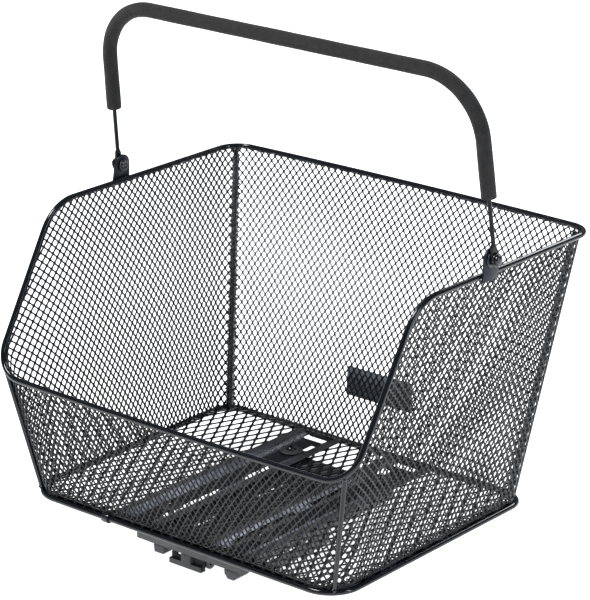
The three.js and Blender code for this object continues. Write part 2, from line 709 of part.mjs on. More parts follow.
// ---------- handle brackets and pivots ----------
const BRACKET = { y: 28.4, topR: 9.8, bottom: 246.8, front: 15.6, back: 38.4, holeR: 2.4 };
const BRACKET_X = { low: 212.3, high: 210.8, thickness: 1.6 };
const bracketOutline = [];
for (let i = 0; i <= 10; i += 1) {
  const angle = (Math.PI * i) / 10;
  bracketOutline.push([
    BRACKET.y + BRACKET.topR * Math.cos(angle),
    PIVOT.z + BRACKET.topR * Math.sin(angle),
  ]);
}
bracketOutline.push([BRACKET.y - BRACKET.topR - 0.8, 257], [BRACKET.front, BRACKET.bottom]);
bracketOutline.push([BRACKET.back, BRACKET.bottom], [BRACKET.back, 257]);
// Seen along the wall, the plate leans inwards over the rim wire.
const bracketSection = [
  [BRACKET_X.low, BRACKET.bottom - 1],
  [BRACKET_X.low + BRACKET_X.thickness, BRACKET.bottom - 1],
  [BRACKET_X.high + BRACKET_X.thickness, PIVOT.z + BRACKET.topR + 1],
  [BRACKET_X.high, PIVOT.z + BRACKET.topR + 1],
];

function mirrored(geometry, side) {
  if (side > 0) {
    return geometry;
  }
  const flipped = geometry.index ? geometry.toNonIndexed() : geometry.clone();
  flipped.scale(-1, 1, 1);
  const p = flipped.attributes.position;
  for (let i = 0; i < p.count; i += 3) {
    const [x, y, z] = [p.getX(i), p.getY(i), p.getZ(i)];
    p.setXYZ(i, p.getX(i + 1), p.getY(i + 1), p.getZ(i + 1));
    p.setXYZ(i + 1, x, y, z);
  }
  flipped.deleteAttribute('normal');
  flipped.deleteAttribute('uv');
  return mergeVertices(flipped, 1e-5);
}

const PIN = { y: PIVOT.y, z: PIVOT.z };
const EYE = { x0: 215.0, x1: 217.5, r: 4.9, holeR: 2.4 };
const PIVOT_WASHER = { x0: 217.85, x1: 219.05, r: 6.2, holeR: 2.4 };
const PIVOT_SPACER = { x0: 213.6, x1: 214.7, r: 7.2, holeR: 2.4 };
const PIVOT_SCREW = { tip: 207.6, headX0: 219.4, headX1: 222.6, shankR: 2.05, headR: 4.6 };
const PIVOT_NUT = { x0: 207.8, x1: 210.6, r: 5.9, holeR: 2.4 };

for (const [label, side] of [['right', 1], ['left', -1]]) {
  const section = plateXZ(bracketSection, BRACKET.front - 1, BRACKET.back + 1);
  const plate = fromManifold(toManifold(section).intersect(toManifold(plateYZ(bracketOutline, 209, 216))));
  const bore = barX(209, 216, PIN.y, PIN.z, BRACKET.holeR, 16);
  addMesh(`handle_bracket_${label}`, mirrored(cut(plate, bore), side), BLACK_STEEL());

  const spacer = cut(
    barX(PIVOT_SPACER.x0, PIVOT_SPACER.x1, PIN.y, PIN.z, PIVOT_SPACER.r, 24),
    barX(PIVOT_SPACER.x0 - 1, PIVOT_SPACER.x1 + 1, PIN.y, PIN.z, PIVOT_SPACER.holeR, 16),
  );
  addMesh(`pivot_spacer_${label}`, mirrored(spacer, side), BLACK_STEEL());

  const washer = cut(
    barX(PIVOT_WASHER.x0, PIVOT_WASHER.x1, PIN.y, PIN.z, PIVOT_WASHER.r, 24),
    barX(PIVOT_WASHER.x0 - 1, PIVOT_WASHER.x1 + 1, PIN.y, PIN.z, PIVOT_WASHER.holeR, 16),
  );
  addMesh(`pivot_washer_${label}`, mirrored(washer, side), BLACK_STEEL());

  const screwProfile = [
    [0, PIVOT_SCREW.tip],
    [PIVOT_SCREW.shankR, PIVOT_SCREW.tip],
    [PIVOT_SCREW.shankR, PIVOT_SCREW.headX0],
    [PIVOT_SCREW.headR, PIVOT_SCREW.headX0],
    [PIVOT_SCREW.headR, PIVOT_SCREW.headX0 + 1],
    [PIVOT_SCREW.headR * 0.75, PIVOT_SCREW.headX1 - 0.7],
    [PIVOT_SCREW.headR * 0.35, PIVOT_SCREW.headX1],
    [0, PIVOT_SCREW.headX1],
  ].map(([r, x]) => new THREE.Vector2(r, x));
  const screw = new THREE.LatheGeometry(screwProfile, 16)
    .rotateZ(-quarter)
    .translate(0, PIN.y, PIN.z);
  addMesh(`pivot_screw_${label}`, mirrored(screw, side), BLACK_STEEL());

  const nut = cut(
    barX(PIVOT_NUT.x0, PIVOT_NUT.x1, PIN.y, PIN.z, PIVOT_NUT.r, 20),
    barX(PIVOT_NUT.x0 - 1, PIVOT_NUT.x1 + 1, PIN.y, PIN.z, PIVOT_NUT.holeR, 16),
  );
  addMesh(`pivot_nut_${label}`, mirrored(nut, side), BLACK_STEEL());
}

// ---------- folding handle ----------
const lean = THREE.MathUtils.degToRad(BAIL.leanDeg);
const up = vec(0, -Math.sin(lean), Math.cos(lean));
const pin = (x) => vec(x, PIVOT.y, PIVOT.z);
const bailTop = (x) => pin(x).addScaledVector(up, BAIL.length);
const leftPin = pin(-PIVOT.x);
const rightPin = pin(PIVOT.x);
const leftTop = bailTop(-BAIL.topHalfWidth);
const rightTop = bailTop(BAIL.topHalfWidth);
const leftBend = cornerArc(leftPin, leftTop, rightTop, BAIL.bendR, 8);
const rightBend = cornerArc(leftTop, rightTop, rightPin, BAIL.bendR, 8);

const alongLeg = (from, to, distance) => from.clone().add(to.clone().sub(from).setLength(distance));
const wirePath = [
  alongLeg(leftPin, leftTop, BAIL.wireStart),
  ...leftBend,
  ...rightBend,
  alongLeg(rightPin, rightTop, BAIL.wireStart),
];
const eye = (side) => mirrored(barX(EYE.x0, EYE.x1, PIN.y, PIN.z, EYE.r, 20), side);
const eyeBore = (side) => mirrored(barX(EYE.x0 - 1, EYE.x1 + 1, PIN.y, PIN.z, EYE.holeR, 16), side);
const tongue = (side) => {
  const width = 2.2;
  const reach = 14;
  const across = vec(0, up.z, -up.y);
  const base = pin(0).addScaledVector(up, 2.6);
  const tip = pin(0).addScaledVector(up, reach);
  const outline = [
    base.clone().addScaledVector(across, width),
    tip.clone().addScaledVector(across, width * 0.8),
    tip.clone().addScaledVector(across, -width * 0.8),
    base.clone().addScaledVector(across, -width),
  ].map((p) => [p.y, p.z]);
  return mirrored(plateYZ(outline.reverse(), EYE.x0, EYE.x1 - 0.3), side);
};
const bailSolid = cut(
  join(sweep(wirePath, BAIL.wireR, 10), eye(-1), eye(1), tongue(-1), tongue(1)),
  eyeBore(-1),
  eyeBore(1),
);
addMesh('handle_bail', bailSolid, BLACK_WIRE());

const gripPath = [
  alongLeg(leftPin, leftTop, GRIP.legStart),
  ...leftBend,
  ...rightBend,
  alongLeg(rightPin, rightTop, GRIP.legStart),
];
addMesh('handle_grip', sweep(gripPath, GRIP.outerR, 14, GRIP.boreR), FOAM());

export default basket;
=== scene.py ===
"""Bicycle rear-rack basket: bent-wire frame, expanded-metal mesh, floor trays, rack adapter and bail handle."""

import bisect
import math

import bmesh
import bpy
from mathutils import Matrix, Quaternion, Vector


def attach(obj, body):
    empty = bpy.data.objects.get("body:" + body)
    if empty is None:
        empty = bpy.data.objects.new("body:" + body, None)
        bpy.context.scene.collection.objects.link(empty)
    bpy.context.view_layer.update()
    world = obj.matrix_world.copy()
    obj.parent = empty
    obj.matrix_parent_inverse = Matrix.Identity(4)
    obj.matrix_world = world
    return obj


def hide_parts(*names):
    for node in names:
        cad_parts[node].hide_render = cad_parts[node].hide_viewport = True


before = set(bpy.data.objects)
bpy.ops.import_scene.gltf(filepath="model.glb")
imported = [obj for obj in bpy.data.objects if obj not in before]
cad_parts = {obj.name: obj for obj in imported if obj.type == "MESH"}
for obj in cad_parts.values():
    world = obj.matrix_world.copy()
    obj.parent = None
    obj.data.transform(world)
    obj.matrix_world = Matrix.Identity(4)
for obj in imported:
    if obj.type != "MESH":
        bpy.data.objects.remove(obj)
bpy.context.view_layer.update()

# ---------- dimensions, in millimetres from the centre of the base ring ----------
ORIGIN = Vector((0.0, -18.03, 30.5))  # where the base ring's centre stands in the row frame
WIRE_R = 2.6
ROD_R = 2.2
BASE_X, BASE_Y = 180.0, 137.3
BASE_RADIUS = {"fl": 30.0, "fr": 30.0, "br": 23.0, "bl": 23.0}  # corner radii of the base ring
RIM_Z, RIM_BACK_X, RIM_BACK_Y, RIM_BACK_R = 250.5, 209.7, 186.5, 23.0
BEND_X, BEND_Y, BEND_R, BEND_RISE = 208.5, -67.0, 46.0, 1.5
FRONT_Z, FRONT_X, FRONT_Y, FRONT_R = 112.3, 205.5, -151.0, 31.0
BOW_BACK, BOW_FRONT = 3.5, 3.0
WALL_INSET = 2.7  # mesh midplane inside the wires' centrelines
PIVOT = Vector((216.3, 28.8, 265.4))
LEAN = math.radians(7.2)
BAIL_LENGTH, BAIL_TOP_X, BAIL_R = 161.3, 209.2, 57.0


def mm(p):
    """A point in the row frame, in metres, from millimetres about the base ring's centre."""
    return (Vector(p) + ORIGIN) * 0.001


# ---------- materials ----------
def new_material(name):
    mat = bpy.data.materials.new(name)
    mat.use_nodes = True
    nt = mat.node_tree
    shader = next(n for n in nt.nodes if n.type == "BSDF_PRINCIPLED")
    return mat, nt, shader


def noise(nt, scale, detail=3.0, rough=0.55):
    coord = nt.nodes.new("ShaderNodeTexCoord")
    tex = nt.nodes.new("ShaderNodeTexNoise")
    tex.inputs["Scale"].default_value = scale
    tex.inputs["Detail"].default_value = detail
    tex.inputs["Roughness"].default_value = rough
    nt.links.new(coord.outputs["Object"], tex.inputs["Vector"])
    return tex.outputs["Fac"]


def ramp(nt, fac, stops):
    node = nt.nodes.new("ShaderNodeValToRGB")
    elements = node.color_ramp.elements
    while len(elements) < len(stops):
        elements.new(0.5)
    for element, (pos, colour) in zip(elements, stops):
        element.position = pos
        element.color = (*colour, 1.0) if isinstance(colour, tuple) else (colour, colour, colour, 1.0)
    nt.links.new(fac, node.inputs["Fac"])
    return node.outputs["Color"]


def bump(nt, shader, height, strength, distance):
    node = nt.nodes.new("ShaderNodeBump")
    node.inputs["Strength"].default_value = strength
    node.inputs["Distance"].default_value = distance
    nt.links.new(height, node.inputs["Height"])
    nt.links.new(node.outputs["Normal"], shader.inputs["Normal"])


def coated(name, dark, light, rough, peel=0.25, coat=0.0, specular=0.5):
    """Powder coat: two close tones, uneven gloss and orange peel."""
    mat, nt, shader = new_material(name)
    shader.inputs["Specular IOR Level"].default_value = specular
    tone = ramp(nt, noise(nt, 45.0), [(0.35, dark), (0.7, light)])
    gloss = ramp(nt, noise(nt, 220.0, 4.0), [(0.3, rough[0]), (0.75, rough[1])])
    nt.links.new(tone, shader.inputs["Base Color"])
    nt.links.new(gloss, shader.inputs["Roughness"])
    shader.inputs["Coat Weight"].default_value = coat
    shader.inputs["Coat Roughness"].default_value = 0.12
    bump(nt, shader, noise(nt, 900.0, 2.0), peel, 0.0002)
    return mat


def foam_material():
    """Closed-cell foam: charcoal, matte, with open pores darkened in colour as painted shade, and faint pale
    specks.
    """
    mat, nt, shader = new_material("foam_grip")
    coord = nt.nodes.new("ShaderNodeTexCoord")
    pores = nt.nodes.new("ShaderNodeTexVoronoi")
    pores.inputs["Scale"].default_value = 1500.0
    nt.links.new(coord.outputs["Object"], pores.inputs["Vector"])
    dark, light = (0.0125, 0.0117, 0.0117), (0.0285, 0.027, 0.027)
    tone = ramp(nt, noise(nt, 160.0, 6.0, 0.7), [(0.3, dark), (0.7, light)])
    # Painted shade: the colour is darkened inside the pores.
    pore_shade = ramp(nt, pores.outputs["Distance"], [(0.05, 0.45), (0.45, 1.0)])
    mix = nt.nodes.new("ShaderNodeMix")
    mix.data_type = "RGBA"
    mix.blend_type = "MULTIPLY"
    mix.inputs["Factor"].default_value = 1.0
    nt.links.new(tone, mix.inputs["A"])
    nt.links.new(pore_shade, mix.inputs["B"])
    nt.links.new(mix.outputs["Result"], shader.inputs["Base Color"])
    shader.inputs["Roughness"].default_value = 0.92
    shader.inputs["Sheen Weight"].default_value = 0.06
    shader.inputs["Specular IOR Level"].default_value = 0.3
    shader.inputs["Sheen Roughness"].default_value = 0.6
    bump(nt, shader, pores.outputs["Distance"], 0.6, 0.0004)
    return mat


def plastic_material(name, dark, light):
    """Moulded grey nylon with a fine spark-eroded grain."""
    mat, nt, shader = new_material(name)
    tone = ramp(nt, noise(nt, 60.0), [(0.3, dark), (0.7, light)])
    nt.links.new(tone, shader.inputs["Base Color"])
    nt.links.new(ramp(nt, noise(nt, 300.0), [(0.3, 0.5), (0.7, 0.66)]), shader.inputs["Roughness"])
    bump(nt, shader, noise(nt, 1400.0, 2.0), 0.35, 0.0002)
    return mat


def painted_light_along_y(mat, start, end, rest):
    """Painted light: tone that falls to a fraction of itself towards the back, standing in for light that
    reaches the front of the trays more than the back.
    """
    nt = mat.node_tree
    shader = next(n for n in nt.nodes if n.type == "BSDF_PRINCIPLED")
    source = shader.inputs["Base Color"].links[0].from_socket
    coord = nt.nodes.new("ShaderNodeTexCoord")
    split = nt.nodes.new("ShaderNodeSeparateXYZ")
    span = nt.nodes.new("ShaderNodeMapRange")
    span.inputs["From Min"].default_value = start
    span.inputs["From Max"].default_value = end
    span.inputs["To Min"].default_value = 1.0
    span.inputs["To Max"].default_value = rest
    scale = nt.nodes.new("ShaderNodeVectorMath")
    scale.operation = "SCALE"
    nt.links.new(coord.outputs["Object"], split.inputs["Vector"])
    nt.links.new(split.outputs["Y"], span.inputs["Value"])
    nt.links.new(source, scale.inputs[0])
    nt.links.new(span.outputs["Result"], scale.inputs["Scale"])
    nt.links.new(scale.outputs["Vector"], shader.inputs["Base Color"])


BLACK = coated("black_wire", (0.003, 0.004, 0.0055), (0.007, 0.009, 0.012), (0.08, 0.14), 0.08, 0.25, 0.28)
MESH = coated("black_mesh", (0.003, 0.0035, 0.0045), (0.008, 0.009, 0.011), (0.24, 0.40), 0.3, 0.0, 0.32)
# Painted highlight: the hems and seams are the same black steel as the mesh, but their colour is lifted to pale
# grey in patches standing in for glints; the gloss and bump are real.
SEAM_PAINTED_GLINTS = coated("folded_mesh_painted_glints", (0.003, 0.0035, 0.0045), (0.05, 0.054, 0.062), (0.10, 0.40), 1.0, 0.5)
TRAY = coated("tray_floor", (0.002, 0.0025, 0.004), (0.006, 0.007, 0.011), (0.45, 0.6), 0.3, 0.0, 0.25)
# Painted light: the slanted tray walls get a far brighter colour than the tray floor of the same pressed steel,
# standing in for the light falling on them.
TRAY_WALL_PAINTED_LIGHT = coated("tray_wall_painted_light", (0.150, 0.170, 0.205), (0.335, 0.370, 0.430), (0.22, 0.38), 0.35)
FLANGE = coated("tray_flange", (0.016, 0.017, 0.020), (0.070, 0.072, 0.078), (0.4, 0.6), 1.0)
# Painted light: the tray walls and flanges are coloured lighter at the front and darker towards the back, as
# the light falls on them; the flange's mottle is its own tone.
painted_light_along_y(TRAY_WALL_PAINTED_LIGHT, -0.10, 0.07, 0.04)
painted_light_along_y(FLANGE, -0.06, 0.07, 0.45)
STEEL = coated("black_steel", (0.006, 0.008, 0.011), (0.012, 0.015, 0.020), (0.2, 0.32), 0.2, 0.3)
LAMP_PLATE = coated("lamp_plate", (0.11, 0.126, 0.15), (0.165, 0.188, 0.22), (0.35, 0.5), 0.3)
BRACKET = coated("bracket_steel", (0.008, 0.011, 0.018), (0.016, 0.021, 0.032), (0.25, 0.38), 0.2, 0.0, 0.2)
BAIL = coated("bail_wire", (0.003, 0.004, 0.006), (0.008, 0.010, 0.013), (0.2, 0.3), 0.1, 0.0, 0.18)
# Painted shade: near-black colour for the hollow back of the T-hook, standing in for the shadow behind its
# crossbar.
RECESS_PAINTED_SHADE = coated("hook_recess_painted_shade", (0.006, 0.006, 0.007), (0.012, 0.012, 0.014), (0.5, 0.65), 0.3, 0.0, 0.3)
DOMED = coated("domed_washer", (0.014, 0.014, 0.015), (0.024, 0.024, 0.026), (0.5, 0.62), 0.3)
FOAM = foam_material()
PLASTIC = plastic_material("adapter_plastic", (0.055, 0.056, 0.060), (0.075, 0.076, 0.080))
# Painted shade: the adapter's side skirts get a grey, lighter than the adapter's own plastic, that stands in
# for the shaded table seen through the floor under the adapter.
SKIRT_PAINTED_SHADE = plastic_material("skirt_painted_shade", (0.105, 0.107, 0.112), (0.140, 0.142, 0.148))


# ---------- building ----------
def piece(name, verts, faces, material, nodes=(), body="basket", slot=None, flat_angle=40.0):
    """A mesh object from millimetre points, riding on its body and standing for its CAD nodes."""
    mesh = bpy.data.meshes.new(name)
    mesh.from_pydata([mm(v) for v in verts], [], faces)
    mesh.validate()
    obj = bpy.data.objects.new(name, mesh)
    bpy.context.scene.collection.objects.link(obj)
    finish_mesh(obj, material, flat_angle)
    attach(obj, body)
    if nodes:
        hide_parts(*nodes)
    return obj


def finish_mesh(obj, material, flat_angle=40.0):
    bm = bmesh.new()
    bm.from_mesh(obj.data)
    bmesh.ops.remove_doubles(bm, verts=bm.verts, dist=1e-6)
    bmesh.ops.dissolve_degenerate(bm, edges=bm.edges, dist=1e-6)
    bmesh.ops.recalc_face_normals(bm, faces=bm.faces)
    limit = math.radians(flat_angle)
    for face in bm.faces:
        face.smooth = True
    for edge in bm.edges:
        edge.smooth = not (edge.is_manifold and edge.calc_face_angle(0.0) > limit)
    bm.to_mesh(obj.data)
    bm.free()
    obj.data.materials.clear()
    obj.data.materials.append(material)


def from_cad(name, node, material, bevel=0.5, segments=2, body="basket", angle=30.0):
    """A CAD node's solid with its sharp edges rolled over, standing for that node."""
    obj = bpy.data.objects.new(name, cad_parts[node].data.copy())
    bpy.context.scene.collection.objects.link(obj)
    bm = bmesh.new()
    bm.from_mesh(obj.data)
    bmesh.ops.remove_doubles(bm, verts=bm.verts, dist=1e-6)
    bmesh.ops.dissolve_limit(bm, angle_limit=math.radians(1.0), verts=bm.verts, edges=bm.edges)
    bm.to_mesh(obj.data)
    bm.free()
    mod = obj.modifiers.new("edges", "BEVEL")
    mod.width = bevel * 0.001
    mod.segments = segments
    mod.limit_method = "ANGLE"
    mod.angle_limit = math.radians(angle)
    mod.use_clamp_overlap = True
    mod.harden_normals = False
    apply_modifiers(obj)
    finish_mesh(obj, material, 35.0)
    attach(obj, body)
    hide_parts(node)
    return obj


def apply_modifiers(obj):
    graph = bpy.context.evaluated_depsgraph_get()
    graph.update()
    mesh = bpy.data.meshes.new_from_object(obj.evaluated_get(graph), depsgraph=graph)
    obj.modifiers.clear()
    obj.data = mesh


def arc(a, corner, b, r, n=14):
    """Points round a corner of radius r between the legs to a and b."""
    a, corner, b = Vector(a), Vector(corner), Vector(b)
    u, v = (a - corner).normalized(), (b - corner).normalized()
    angle = u.angle(v)
    centre = corner + (u + v).normalized() * (r / math.sin(angle / 2))
    reach = r / math.tan(angle / 2)
    first, last = corner + u * reach - centre, corner + v * reach - centre
    return [centre + arc_step(first, last, i / n) for i in range(n + 1)]


def arc_step(first, last, t):
    total = first.angle(last)
    return (first * math.sin((1 - t) * total) + last * math.sin(t * total)) / math.sin(total)


def bowed(a, b, bow, n):
    """Points from a to b, ends left out, bowed sideways."""
    return [a.lerp(b, i / (n + 1)) + bow * (4 * i / (n + 1) * (1 - i / (n + 1))) for i in range(1, n + 1)]


def frames(points, closed):
    """Tangent and two normals at each point, carried along without twist."""
    n = len(points)
    tangents = []
    for i, p in enumerate(points):
        before = points[i - 1] if closed or i > 0 else p
        after = points[(i + 1) % n] if closed or i < n - 1 else p
        t = Vector((0, 0, 0))
        if (p - before).length > 1e-9:
            t += (p - before).normalized()
        if (after - p).length > 1e-9:
            t += (after - p).normalized()
        tangents.append(t.normalized())
    side = Vector((0, 0, 1)) if abs(tangents[0].z) < 0.9 else Vector((1, 0, 0))
    normals = [side.cross(tangents[0]).normalized()]
    for i in range(1, n):
        turn = tangents[i - 1].rotation_difference(tangents[i])
        normals.append((turn @ normals[-1]).normalized())
    if closed:
        turn = tangents[-1].rotation_difference(tangents[0])
        back = turn @ normals[-1]
        twist = math.atan2(tangents[0].dot(back.cross(normals[0])), back.dot(normals[0]))
        normals = [Quaternion(t, twist * i / n) @ m for i, (t, m) in enumerate(zip(tangents, normals))]
    return [(t, m, t.cross(m)) for t, m in zip(tangents, normals)]


def tube(points, radius, sides=20, closed=False, round_ends=True):
    """Vertices and faces of a round bar along points; radius is a number or one per point."""
    points = [Vector(p) for p in points]
    radii = list(radius) if isinstance(radius, (list, tuple)) else [radius] * len(points)
    axes = frames(points, closed)
    rings = [(p, r, ax) for p, r, ax in zip(points, radii, axes)]
    if not closed and round_ends:
        head, tail = rings[0], rings[-1]
        caps = [(math.sin(k * math.pi / 8), math.cos(k * math.pi / 8)) for k in (1, 2, 3)]
        rings = (
            [(head[0] - head[2][0] * head[1] * c, head[1] * s, head[2]) for s, c in caps]
            + rings
            + [(tail[0] + tail[2][0] * tail[1] * c, tail[1] * s, tail[2]) for s, c in reversed(caps)]
        )
    verts, faces = [], []
    for p, r, (_, m, b) in rings:
        for k in range(sides):
            angle = 2 * math.pi * k / sides
            verts.append(p + (m * math.cos(angle) + b * math.sin(angle)) * r)
    count = len(rings)
    for i in range(count if closed else count - 1):
        j = (i + 1) % count
        for k in range(sides):
            l = (k + 1) % sides
            faces.append((i * sides + k, i * sides + l, j * sides + l, j * sides + k))
    if not closed:
        faces.append(tuple(reversed(range(sides))))
        faces.append(tuple(range((count - 1) * sides, count * sides)))
    return verts, faces


def merge(*parts):
    verts, faces = [], []
    for v, f in parts:
        base = len(verts)
        verts.extend(v)
        faces.extend(tuple(i + base for i in face) for face in f)
    return verts, faces


def lathe(profile, centre, axis, sides=32):
    """A turned solid: profile is (radius, height) along axis, ending on the axis at both ends."""
    axis = Vector(axis).normalized()
    turn = Vector((0, 0, 1)).rotation_difference(axis)
    verts, faces, rings = [], [], []
    for r, h in profile:
        if r < 1e-6:
            rings.append([len(verts)])
            verts.append(Vector(centre) + turn @ Vector((0, 0, h)))
        else:
            rings.append(list(range(len(verts), len(verts) + sides)))
            for k in range(sides):
                angle = 2 * math.pi * k / sides
                verts.append(Vector(centre) + turn @ Vector((r * math.cos(angle), r * math.sin(angle), h)))
    for a, b in zip(rings, rings[1:]):
        for k in range(sides):
            l = (k + 1) % sides
            if len(a) == 1 and len(b) > 1:
                faces.append((a[0], b[k], b[l]))
            elif len(b) == 1 and len(a) > 1:
                faces.append((a[k], b[0], a[l]))
            elif len(a) > 1:
                faces.append((a[k], b[k], b[l], a[l]))
    return verts, faces


def weld(centre, size, seed):
    """A small lumpy weld bead."""
    verts, faces = [], []
    rows, cols = 6, 10
    for i in range(rows + 1):
        for k in range(cols):
            theta, phi = math.pi * i / rows, 2 * math.pi * k / cols
            lump = 1 + 0.12 * math.sin(3 * phi + seed) * math.sin(2 * theta + 0.7 * seed)
            verts.append(Vector(centre) + Vector((
                size[0] * lump * math.sin(theta) * math.cos(phi),
                size[1] * lump * math.sin(theta) * math.sin(phi),
                size[2] * lump * math.cos(theta),
            )))
    for i in range(rows):
        for k in range(cols):
            l = (k + 1) % cols
            faces.append((i * cols + k, i * cols + l, (i + 1) * cols + l, (i + 1) * cols + k))
    return verts, faces


# ---------- wire paths ----------
ring_corner = {k: Vector((x * BASE_X, y * BASE_Y, 0)) for k, (x, y) in
               {"fr": (1, -1), "br": (1, 1), "bl": (-1, 1), "fl": (-1, -1)}.items()}
ORDER = ["fl", "fr", "br", "bl"]
ring_arc = {}
for i, key in enumerate(ORDER):
    before, after = ORDER[i - 1], ORDER[(i + 1) % 4]
    ring_arc[key] = arc(ring_corner[before], ring_corner[key], ring_corner[after], BASE_RADIUS[key])

rim_point = {
    "fl": Vector((-FRONT_X, FRONT_Y, FRONT_Z)),
    "fr": Vector((FRONT_X, FRONT_Y, FRONT_Z)),
    "bend_r": Vector((BEND_X, BEND_Y, RIM_Z + BEND_RISE)),
    "br": Vector((RIM_BACK_X, RIM_BACK_Y, RIM_Z)),
    "bl": Vector((-RIM_BACK_X, RIM_BACK_Y, RIM_Z)),
    "bend_l": Vector((-BEND_X, BEND_Y, RIM_Z + BEND_RISE)),
}
RIM_ORDER = ["fl", "fr", "bend_r", "br", "bl", "bend_l"]
RIM_RADIUS = {
    "fl": FRONT_R, "fr": FRONT_R, "bend_r": BEND_R,
    "br": RIM_BACK_R, "bl": RIM_BACK_R, "bend_l": BEND_R,
}
rim_arc = {}
for i, key in enumerate(RIM_ORDER):
    before, after = RIM_ORDER[i - 1], RIM_ORDER[(i + 1) % 6]
    rim_arc[key] = arc(rim_point[before], rim_point[key], rim_point[after], RIM_RADIUS[key])
rim_front = bowed(rim_arc["fl"][-1], rim_arc["fr"][0], Vector((0, -BOW_FRONT, 0)), 23)
rim_back = bowed(rim_arc["br"][-1], rim_arc["bl"][0], Vector((0, BOW_BACK, 0)), 23)

ring_path = [p for key in ORDER for p in ring_arc[key]]
rim_path = (
    rim_arc["fl"] + rim_front + rim_arc["fr"] + rim_arc["bend_r"]
    + rim_arc["br"] + rim_back + rim_arc["bl"] + rim_arc["bend_l"]
)
piece("rim_wire", *tube(rim_path, WIRE_R, 24, closed=True), BLACK, ["top_rim"], slot="black_wire")
piece("ring_wire", *tube(ring_path, WIRE_R, 24, closed=True), BLACK, ["base_ring"], slot="black_wire")


# ---------- wall surfaces ----------
def sample(points, t):
    at = t * (len(points) - 1)
    i = min(int(at), len(points) - 2)
    return points[i].lerp(points[i + 1], at - i)


CORNER_TURN = {"fl": math.pi, "fr": 1.5 * math.pi, "br": 0.0, "bl": 0.5 * math.pi}


def corner_rule(key, t):
    """Foot, head and inward direction a fraction t of the way round a corner."""
    angle = CORNER_TURN[key] + t * math.pi / 2
    inward = -Vector((math.cos(angle), math.sin(angle), 0))
    return sample(ring_arc[key], t), sample(rim_arc[key], t), inward


class Wall:
    """A sheet ruled between the base ring and the rim, from the middle of one corner to the next."""

    def __init__(self, start, end, heads, inward, columns, stretch):
        self.half_columns = columns * 2
        rules = [corner_rule(start, 0.5 + i / 12) for i in range(7)]
        foot_a, foot_b = ring_arc[start][-1], ring_arc[end][0]
        first, last = rim_arc[start][-1], rim_arc[end][0]
        span = last - first
        span.z = 0
        for head in heads:
            t = (head - first).dot(span) / span.length_squared
            rules.append((foot_a.lerp(foot_b, t), head, Vector(inward)))
        rules += [corner_rule(end, i / 12) for i in range(7)]
        self.rules = rules
        stretches = [Vector((v, 0, 0)) for v in stretch]
        self.at = [0.0]
        for n, ((foot, head, _), (next_foot, next_head, _)) in enumerate(zip(rules, rules[1:])):
            step = 0.25 * (next_foot - foot).length + 0.75 * (next_head - head).to_2d().length
            step /= sample(stretches, n / (len(rules) - 2)).x
            self.at.append(self.at[-1] + max(step, 1e-6))
        total = self.at[-1]
        self.at = [x / total for x in self.at]

    def rule(self, c):
        i = min(max(bisect.bisect_right(self.at, c) - 1, 0), len(self.at) - 2)
        t = (c - self.at[i]) / (self.at[i + 1] - self.at[i])
        a, b = self.rules[i], self.rules[i + 1]
        return a[0].lerp(b[0], t), a[1].lerp(b[1], t), a[2].lerp(b[2], t).normalized()

    def point(self, c, z, inset):
        foot, head, inward = self.rule(c)
        return foot.lerp(head, z / head.z) + inward * inset

    def normal(self, c, z):
        """Outward normal."""
        d = 0.002
        along = self.point(min(c + d, 1.0), z, 0) - self.point(max(c - d, 0.0), z, 0)
        up = self.point(c, z + 1.0, 0) - self.point(c, z - 1.0, 0)
        return along.cross(up).normalized()


def refine(a, b, n):
    """Points from a to b, both included."""
    return [a.lerp(b, i / n) for i in range(n)] + [b]


heads_right = (
    refine(rim_arc["fr"][-1], rim_arc["bend_r"][0], 8)[1:]
    + rim_arc["bend_r"][1:]
    + refine(rim_arc["bend_r"][-1], rim_arc["br"][0], 12)[1:-1]
)
heads_left = (
    refine(rim_arc["bl"][-1], rim_arc["bend_l"][0], 12)[1:]
    + rim_arc["bend_l"][1:]
    + refine(rim_arc["bend_l"][-1], rim_arc["fl"][0], 8)[1:-1]
)
FRONT_COLUMNS, BACK_COLUMNS, SIDE_COLUMNS = 55, 53, 42
# The last argument is how far the mesh is stretched along the wall, from its start to its end.
WALLS = {
    "front": Wall("fl", "fr", rim_front, (0, 1, 0), FRONT_COLUMNS, (1.0, 1.0)),
    "right": Wall("fr", "br", heads_right, (-1, 0, 0), SIDE_COLUMNS, (0.85, 1.0, 1.0, 1.1)),
    "back": Wall("br", "bl", rim_back, (0, -1, 0), BACK_COLUMNS, (1.1, 1.0, 1.0, 1.0, 1.1)),
    "left": Wall("bl", "fl", heads_left, (1, 0, 0), SIDE_COLUMNS, (1.1, 0.95, 1.03, 1.05, 0.98, 0.8)),
}

# ---------- expanded metal ----------
# Points on the strands' centrelines round an opening, from its top corner, in quarters of a half-pitch.
OUTER = [(0, 4), (-2, 2), (-4, 0), (-2, -2), (0, -4), (2, -2), (4, 0), (2, 2)]
BOND = 0.11  # half the height of an opening's blunt side corners, in half-pitches


def opening_ring(sx, sy):
    """Edge points of one opening, each with the index of its partner in OUTER."""
    quarter = [(0.0, sy, 0), (-0.36 * sx, 0.75 * sy, 1), (-0.72 * sx, 0.44 * sy, 1), (-sx, BOND, 2)]
    left_down = [(x, -y, {0: 4, 1: 3, 2: 2}[k]) for x, y, k in reversed(quarter)]
    left = quarter + left_down
    right = [(-x, y, {0: 0, 1: 7, 2: 6, 3: 5, 4: 4}[k]) for x, y, k in reversed(left[1:-1])]
    return left + right


